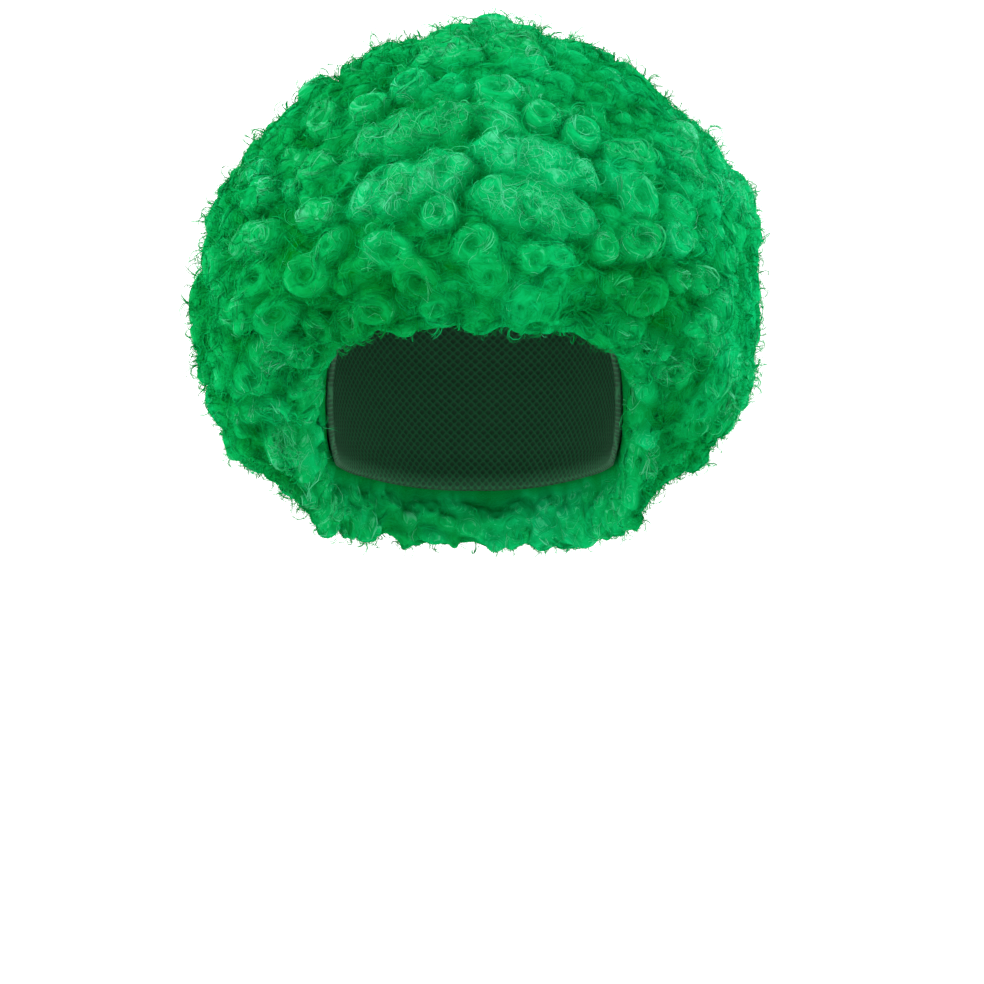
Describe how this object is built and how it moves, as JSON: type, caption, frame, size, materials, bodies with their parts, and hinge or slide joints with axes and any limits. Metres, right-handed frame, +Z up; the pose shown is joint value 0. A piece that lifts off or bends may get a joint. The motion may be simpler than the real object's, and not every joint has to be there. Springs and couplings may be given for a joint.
{
  "type": "curly wig",
  "caption": "Round costume wig: a soft net cap covered all over in tight green curls, open below and at the face, pulled over a head.",
  "frame": {"origin": "inside of the cap at the crown, where the top of a head touches it", "axes": "+Z up, -Y the way the face looks, +X to the right of someone facing the wearer"},
  "size_m": [0.2761, 0.2838, 0.2423],
  "materials": {
    "curled_fibre": "curled synthetic fibre, soft sheen",
    "net_cloth": "matt stretch net"
  },
  "bodies": {
    "root": {"cap": "net_cloth", "crown_rosette": "curled_fibre", "weft_1": "curled_fibre", "weft_2": "curled_fibre", "weft_3": "curled_fibre", "weft_4": "curled_fibre", "weft_5": "curled_fibre", "weft_6": "curled_fibre", "weft_7": "curled_fibre", "weft_8": "curled_fibre"}
  },
  "joints": []
}
